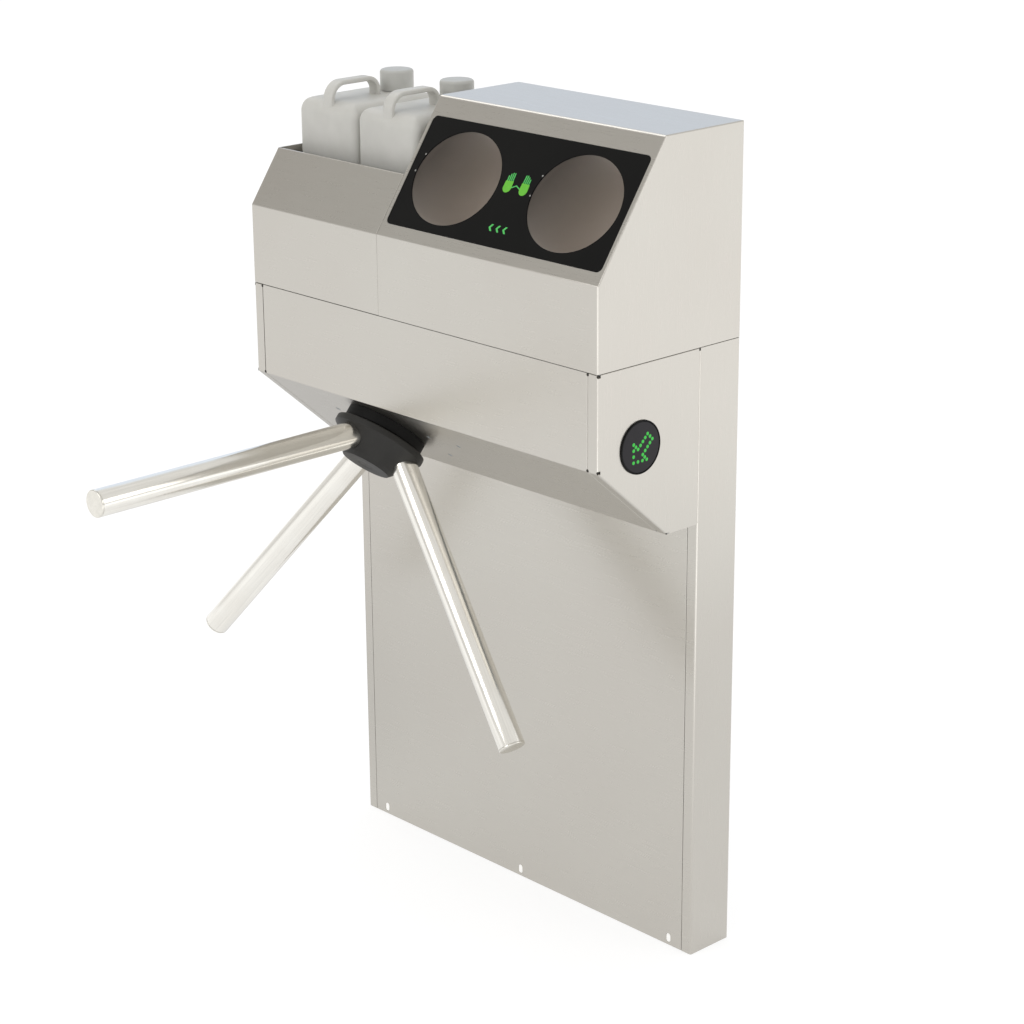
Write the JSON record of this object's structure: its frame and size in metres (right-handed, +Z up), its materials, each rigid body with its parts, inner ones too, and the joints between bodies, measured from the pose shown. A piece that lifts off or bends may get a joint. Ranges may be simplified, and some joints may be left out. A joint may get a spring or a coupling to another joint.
{
  "type": "tripod turnstile with hand sanitising console",
  "caption": "Waist-high tripod turnstile on a slim steel pedestal with a sloped hand sanitising console, an open canister bay and round direction indicators.",
  "frame": {"origin": "on the floor, in the middle of the pedestal's foot", "axes": "+X right along the wide front as seen from the front, +Y to the back, +Z up"},
  "size_m": [0.9303, 0.8005, 1.3273],
  "materials": {
    "satin_steel": "satin brushed stainless sheet",
    "polished_steel": "polished stainless tube",
    "zinc_plate": "zinc-plated steel",
    "cast_black": "black coated cast aluminium, satin",
    "black_plastic": "matte black moulding",
    "gloss_black": "gloss black panel",
    "smoked_lens": "smoked glossy lens over a dot display",
    "well_plastic": "warm grey moulding",
    "canister_grey": "grey blow-moulded polyethylene",
    "cap_grey": "grey moulded polypropylene",
    "board_green": "solder-masked circuit board",
    "belt_rubber": "rubber drive belt",
    "pump_plastic": "dark grey moulding",
    "motor_paint": "dark painted steel case"
  },
  "bodies": {
    "stand": {"pedestal_body": "satin_steel", "pedestal_front_panel": "satin_steel", "housing_side_left": "satin_steel", "housing_side_right": "satin_steel", "front_cover": "satin_steel", "console_shell": "satin_steel", "console_back_panel": "satin_steel", "bay_shell": "satin_steel", "floor_plate": "zinc_plate", "anchor_bolt_left": "zinc_plate", "anchor_bolt_right": "zinc_plate", "housing_top_plate": "zinc_plate", "chassis_plate": "zinc_plate", "mechanism_frame": "zinc_plate", "bearing_housing": "zinc_plate", "power_supply": "zinc_plate", "console_frame": "zinc_plate", "bay_floor": "zinc_plate", "bearing_front": "polished_steel", "bearing_rear": "polished_steel", "hub_flange": "black_plastic", "indicator_bezel_left": "black_plastic", "indicator_bezel_right": "black_plastic", "spray_nozzle_left": "black_plastic", "spray_nozzle_right": "black_plastic", "console_panel": "gloss_black", "indicator_lens_left": "smoked_lens", "indicator_lens_right": "smoked_lens", "hand_well_left": "well_plastic", "hand_well_right": "well_plastic", "control_board": "board_green", "drive_belt": "belt_rubber", "pump_left": "pump_plastic", "pump_right": "pump_plastic", "drive_motor": "motor_paint", "solenoid_upper": "motor_paint", "solenoid_lower": "motor_paint"},
    "tripod": {"tripod_hub": "cast_black", "hub_bolt": "zinc_plate", "main_shaft": "zinc_plate", "lock_disc": "zinc_plate", "shaft_pulley": "zinc_plate", "arm_a": "polished_steel", "arm_b": "polished_steel", "arm_c": "polished_steel", "arm_cap_a": "polished_steel", "arm_cap_b": "polished_steel", "arm_cap_c": "polished_steel"},
    "motor_rotor": {"motor_pulley": "zinc_plate"},
    "pawl_upper_body": {"pawl_upper": "zinc_plate"},
    "pawl_lower_body": {"pawl_lower": "zinc_plate"},
    "plunger_upper_body": {"plunger_upper": "polished_steel"},
    "plunger_lower_body": {"plunger_lower": "polished_steel"},
    "canister_left_body": {"canister_left": "canister_grey"},
    "canister_right_body": {"canister_right": "canister_grey"},
    "liner_left_body": {"cap_liner_left": "cap_grey"},
    "liner_right_body": {"cap_liner_right": "cap_grey"},
    "cap_left_body": {"cap_left": "cap_grey"},
    "cap_right_body": {"cap_right": "cap_grey"}
  },
  "joints": [
    {"name": "tripod_spin", "type": "hinge", "parent": "stand", "child": "tripod", "pos_m": [-0.148, -0.19099, 0.79438], "axis": [0, -0.6548, -0.7558], "continuous": true},
    {"name": "motor_spin", "type": "hinge", "parent": "stand", "child": "motor_rotor", "pos_m": [-0.028, -0.12616, 0.8692], "axis": [0, -0.6548, -0.7558], "continuous": true},
    {"name": "pawl_upper_swing", "type": "hinge", "parent": "stand", "child": "pawl_upper_body", "pos_m": [-0.198, -0.18587, 0.90108], "axis": [0, 0.6548, 0.7558], "range_deg": [0, 8.5], "stiffness_Nm_per_rad": 0.1, "springref_deg": -11.46},
    {"name": "plunger_upper_push", "type": "slide", "parent": "stand", "child": "plunger_upper_body", "axis": [0, -0.7558, 0.6548], "range_m": [0, 0.0039]},
    {"name": "pawl_lower_swing", "type": "hinge", "parent": "stand", "child": "pawl_lower_body", "pos_m": [-0.198, -0.08611, 0.81464], "axis": [0, -0.6548, -0.7558], "range_deg": [0, 8.5], "stiffness_Nm_per_rad": 0.1, "springref_deg": -11.46},
    {"name": "plunger_lower_push", "type": "slide", "parent": "stand", "child": "plunger_lower_body", "axis": [0, 0.7558, -0.6548], "range_m": [0, 0.0039]},
    {"name": "canister_left_lift", "type": "slide", "parent": "stand", "child": "canister_left_body", "axis": [0, 0, 1], "range_m": [0, 0.15]},
    {"name": "cap_left_rise", "type": "slide", "parent": "canister_left_body", "child": "liner_left_body", "axis": [0, 0, 1], "range_m": [0, 0.0061]},
    {"name": "cap_left_turn", "type": "hinge", "parent": "liner_left_body", "child": "cap_left_body", "pos_m": [-0.3104, -0.0145, 1.309], "axis": [0, 0, 1], "range_deg": [0, 540]},
    {"name": "canister_right_lift", "type": "slide", "parent": "stand", "child": "canister_right_body", "axis": [0, 0, 1], "range_m": [0, 0.15]},
    {"name": "cap_right_rise", "type": "slide", "parent": "canister_right_body", "child": "liner_right_body", "axis": [0, 0, 1], "range_m": [0, 0.0061]},
    {"name": "cap_right_turn", "type": "hinge", "parent": "liner_right_body", "child": "cap_right_body", "pos_m": [-0.1654, -0.0145, 1.309], "axis": [0, 0, 1], "range_deg": [0, 540]}
  ],
  "couplings": [
    {"joint": "motor_spin", "follows": "tripod_spin", "ratio": 2},
    {"joint": "plunger_upper_push", "follows": "pawl_upper_swing", "m_per_rad": 0.026},
    {"joint": "plunger_lower_push", "follows": "pawl_lower_swing", "m_per_rad": 0.026},
    {"joint": "cap_left_rise", "follows": "cap_left_turn", "m_per_rad": 0.00063662},
    {"joint": "cap_right_rise", "follows": "cap_right_turn", "m_per_rad": 0.00063662}
  ]
}
